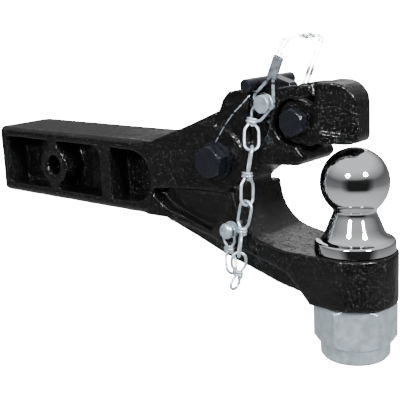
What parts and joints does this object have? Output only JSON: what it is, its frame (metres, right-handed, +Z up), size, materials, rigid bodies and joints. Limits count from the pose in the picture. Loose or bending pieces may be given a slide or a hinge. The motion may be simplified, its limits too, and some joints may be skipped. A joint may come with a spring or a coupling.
{
  "type": "trailer hitch with ball",
  "caption": "Receiver-mount combination hitch: a pintle jaw with lock lever, safety pin and keeper chain above a chromed tow ball.",
  "frame": {"origin": "centre of the hitch pin hole, on the shank's centre line", "axes": "+X along the shank towards the ball, +Z up along the ball's stem, the safety pin is drawn towards -Y"},
  "size_m": [0.411, 0.092, 0.2395],
  "materials": {
    "black_casting": "gloss black paint over a rough casting",
    "black_fastener": "gloss black coating over smooth steel",
    "ball_chrome": "mirror chrome",
    "zinc_plate": "bluish zinc plate, satin",
    "ferrule_steel": "dull blue-grey steel",
    "blue_nylon": "moulded nylon"
  },
  "bodies": {
    "hitch": {"hitch_body": "black_casting", "tow_ball": "ball_chrome", "ball_nut": "zinc_plate", "nut_nylon_insert": "blue_nylon", "jaw_pivot_bolt": "black_fastener", "jaw_pivot_washer": "zinc_plate", "jaw_pivot_nut": "zinc_plate", "lock_pivot_bolt": "black_fastener", "lock_pivot_washer_near": "black_fastener", "lock_pivot_washer_far": "black_fastener", "lock_pivot_nut": "zinc_plate", "lock_spring": "zinc_plate", "chain_screw": "zinc_plate", "chain_screw_washer": "zinc_plate"},
    "jaw": {"upper_jaw": "black_casting"},
    "lock": {"lock_lever": "black_fastener", "lock_handle_bar": "black_fastener"},
    "pin": {"safety_pin": "zinc_plate", "chain_link_1": "zinc_plate", "tie_wire": "zinc_plate"},
    "bail": {"pin_bail_wire": "zinc_plate", "bail_ferrule": "ferrule_steel"},
    "chain_upper": {"chain_link_2": "zinc_plate", "chain_link_3": "zinc_plate", "chain_link_4": "zinc_plate"},
    "chain_lower": {"chain_link_5": "zinc_plate"}
  },
  "joints": [
    {"name": "jaw_hinge", "type": "hinge", "parent": "hitch", "child": "jaw", "pos_m": [0.264, 0, 0.0538], "axis": [0, -1, 0], "range_deg": [0, 48]},
    {"name": "lock_hinge", "type": "hinge", "parent": "hitch", "child": "lock", "pos_m": [0.1915, 0, 0.02], "axis": [0, -1, 0], "range_deg": [0, 18]},
    {"name": "pin_slide", "type": "slide", "parent": "hitch", "child": "pin", "axis": [0, -1, 0], "range_m": [0, 0.055]},
    {"name": "bail_hinge", "type": "hinge", "parent": "pin", "child": "bail", "pos_m": [0.2396, -0.0243, 0.0667], "axis": [0.9135, 0, -0.4067], "range_deg": [0, 150]},
    {"name": "chain_top_hinge", "type": "hinge", "parent": "pin", "child": "chain_upper", "pos_m": [0.2338, -0.0315, 0.0342], "axis": [1, 0, 0], "range_deg": [0, 28.8]},
    {"name": "chain_bottom_hinge", "type": "hinge", "parent": "hitch", "child": "chain_lower", "pos_m": [0.212, -0.0352, -0.031], "axis": [-1, 0, 0], "range_deg": [0, 12]}
  ],
  "couplings": [
    {"joint": "lock_hinge", "follows": "jaw_hinge", "ratio": 0.375},
    {"joint": "pin_slide", "follows": "jaw_hinge", "m_per_rad": 0.065651},
    {"joint": "bail_hinge", "follows": "jaw_hinge", "ratio": 3.125},
    {"joint": "chain_top_hinge", "follows": "jaw_hinge", "ratio": 0.6},
    {"joint": "chain_bottom_hinge", "follows": "jaw_hinge", "ratio": 0.25}
  ]
}
